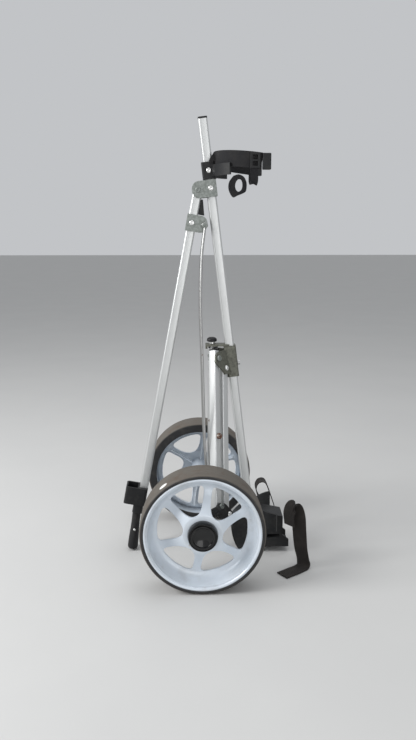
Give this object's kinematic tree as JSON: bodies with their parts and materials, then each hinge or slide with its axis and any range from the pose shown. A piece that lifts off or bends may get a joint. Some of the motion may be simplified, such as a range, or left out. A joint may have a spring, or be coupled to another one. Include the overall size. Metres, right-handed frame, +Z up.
{
  "type": "golf trolley",
  "caption": "Folding two-wheel golf pull trolley: leaning square tube, bag cradles with webbing straps, folding handle, splayed parallel legs and dished spoked wheels.",
  "frame": {"origin": "middle of the bounding box, on the ground", "axes": "+X from the folded handle towards the bag side, +Y to the left wheel, +Z up"},
  "size_m": [0.4673, 0.5206, 1.0864],
  "materials": {
    "anodised_tube": "satin anodised square tube",
    "grey_casting": "plain grey die casting",
    "olive_casting": "dark olive grey die casting",
    "gloss_black": "gloss black moulding",
    "rim_paint": "pale silver blue painted moulding",
    "tyre_rubber": "black rubber, dusty tread",
    "rusted_steel": "rusted bolt",
    "bright_steel": "plated steel",
    "black_webbing": "black woven webbing",
    "black_plastic": "black moulding"
  },
  "bodies": {
    "frame": {"main_tube": "anodised_tube", "main_tube_cap": "black_plastic", "hinge_casting": "grey_casting", "hinge_rivet": "bright_steel", "handle_pivot_pin": "grey_casting", "upper_bracket_rivet": "bright_steel", "lower_bracket_rivet": "bright_steel", "leg_casting": "olive_casting", "leg_casting_bolt": "bright_steel", "upper_bracket": "black_plastic", "upper_bag_pad": "black_webbing", "right_upper_strap_end": "black_plastic", "left_upper_strap_end": "black_plastic", "upper_buckle": "black_plastic", "upper_strap_loop": "black_webbing", "lower_bracket": "black_plastic", "lower_strap_right": "black_webbing", "lower_strap_left": "black_webbing", "right_upper_rear_pin": "grey_casting", "right_upper_front_pin": "grey_casting", "left_upper_rear_pin": "grey_casting", "left_upper_front_pin": "grey_casting"},
    "handle": {"handle_tube": "anodised_tube", "draw_casting": "grey_casting", "draw_rivet": "bright_steel", "draw_rod_pin": "grey_casting", "handle_buffer": "black_plastic", "handle_console": "black_plastic", "handle_grip": "black_plastic", "grip_screw": "bright_steel"},
    "lock_knob": {"lock_knob": "gloss_black", "lock_plunger": "bright_steel"},
    "right_draw_rod": {"right_draw_rod": "bright_steel"},
    "right_leg_rear": {"right_leg_rear_tube": "anodised_tube", "right_leg_cap": "black_plastic", "right_leg_bolt": "rusted_steel"},
    "right_leg_front": {"right_leg_front_tube": "anodised_tube"},
    "right_bracket": {"right_wheel_bracket": "black_plastic", "right_axle": "bright_steel", "right_lower_rear_pin": "grey_casting", "right_lower_front_pin": "bright_steel"},
    "right_wheel": {"right_wheel_rim": "rim_paint", "right_tyre": "tyre_rubber", "right_hub_cap": "gloss_black", "right_wheel_bush": "black_plastic"},
    "left_draw_rod": {"left_draw_rod": "bright_steel"},
    "left_leg_rear": {"left_leg_rear_tube": "anodised_tube", "left_leg_cap": "black_plastic", "left_leg_bolt": "rusted_steel"},
    "left_leg_front": {"left_leg_front_tube": "anodised_tube"},
    "left_bracket": {"left_wheel_bracket": "black_plastic", "left_axle": "bright_steel", "left_lower_rear_pin": "grey_casting", "left_lower_front_pin": "bright_steel"},
    "left_wheel": {"left_wheel_rim": "rim_paint", "left_tyre": "tyre_rubber", "left_hub_cap": "gloss_black", "left_wheel_bush": "black_plastic"}
  },
  "joints": [
    {"name": "handle_fold", "type": "hinge", "parent": "frame", "child": "handle", "pos_m": [-0.03735, 0, 0.91817], "axis": [0, 1, 0], "range_deg": [0, 110]},
    {"name": "lock_knob_pull", "type": "slide", "parent": "frame", "child": "lock_knob", "axis": [0, 0, 1], "range_m": [0, 0.006], "stiffness_N_per_m": 400, "springref_m": -0.01},
    {"name": "right_leg_rear_swing", "type": "hinge", "parent": "frame", "child": "right_leg_rear", "pos_m": [0.00081, -0.029, 0.513], "axis": [-0.7209, 0.6662, -0.191], "range_deg": [0, 42]},
    {"name": "right_leg_front_swing", "type": "hinge", "parent": "frame", "child": "right_leg_front", "pos_m": [0.02195, -0.01393, 0.48579], "axis": [-0.7209, 0.6662, -0.191], "range_deg": [0, 42]},
    {"name": "right_bracket_level", "type": "hinge", "parent": "right_leg_rear", "child": "right_bracket", "pos_m": [0.00081, -0.12768, 0.16887], "axis": [-0.7209, 0.6662, -0.191], "range_deg": [-42, 0]},
    {"name": "right_wheel_spin", "type": "hinge", "parent": "right_bracket", "child": "right_wheel", "pos_m": [-0.03219, -0.211, 0.145], "axis": [0, 1, 0], "continuous": true},
    {"name": "right_rod_swing", "type": "hinge", "parent": "handle", "child": "right_draw_rod", "pos_m": [-0.02102, -0.023, 0.83569], "axis": [-0.3786, -0.9177, 0.1206], "range_deg": [0, 100.31]},
    {"name": "left_leg_rear_swing", "type": "hinge", "parent": "frame", "child": "left_leg_rear", "pos_m": [0.00081, 0.029, 0.513], "axis": [0.7209, 0.6662, 0.191], "range_deg": [0, 42]},
    {"name": "left_leg_front_swing", "type": "hinge", "parent": "frame", "child": "left_leg_front", "pos_m": [0.02195, 0.01393, 0.48579], "axis": [0.7209, 0.6662, 0.191], "range_deg": [0, 42]},
    {"name": "left_bracket_level", "type": "hinge", "parent": "left_leg_rear", "child": "left_bracket", "pos_m": [0.00081, 0.12768, 0.16887], "axis": [0.7209, 0.6662, 0.191], "range_deg": [-42, 0]},
    {"name": "left_wheel_spin", "type": "hinge", "parent": "left_bracket", "child": "left_wheel", "pos_m": [-0.03219, 0.211, 0.145], "axis": [0, 1, 0], "continuous": true},
    {"name": "left_rod_swing", "type": "hinge", "parent": "handle", "child": "left_draw_rod", "pos_m": [-0.02102, 0.023, 0.83569], "axis": [0.3786, -0.9177, -0.1206], "range_deg": [0, 100.31]}
  ],
  "couplings": [
    {"joint": "right_leg_rear_swing", "follows": "handle_fold", "ratio": 0.38182},
    {"joint": "right_leg_front_swing", "follows": "handle_fold", "ratio": 0.38182},
    {"joint": "right_bracket_level", "follows": "handle_fold", "ratio": -0.38182},
    {"joint": "right_rod_swing", "follows": "handle_fold", "ratio": 0.91187},
    {"joint": "left_leg_rear_swing", "follows": "handle_fold", "ratio": 0.38182},
    {"joint": "left_leg_front_swing", "follows": "handle_fold", "ratio": 0.38182},
    {"joint": "left_bracket_level", "follows": "handle_fold", "ratio": -0.38182},
    {"joint": "left_rod_swing", "follows": "handle_fold", "ratio": 0.91187}
  ]
}
